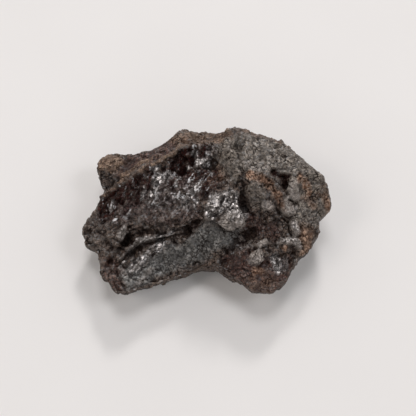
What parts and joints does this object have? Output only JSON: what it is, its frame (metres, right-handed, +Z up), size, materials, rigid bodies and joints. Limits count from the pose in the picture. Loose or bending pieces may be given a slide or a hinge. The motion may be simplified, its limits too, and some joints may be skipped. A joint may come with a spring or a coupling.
{
  "type": "meteorite",
  "caption": "Hand-sized iron-rich meteorite: one rough, weathered stone with a domed end, a glossy hackly face, a hollow, creases and pits, lying on small flats.",
  "frame": {"origin": "on the table, under the middle of the stone's bounding box", "axes": "+X along the stone towards its domed end, +Y from its show side to its back, +Z up"},
  "size_m": [0.07, 0.0496, 0.0245],
  "materials": {
    "stone": "rough and weathered, dark brown to grey, with glossy maroon, sparkling grey and rusty patches"
  },
  "bodies": {
    "root": {"meteorite": "stone"}
  },
  "joints": []
}
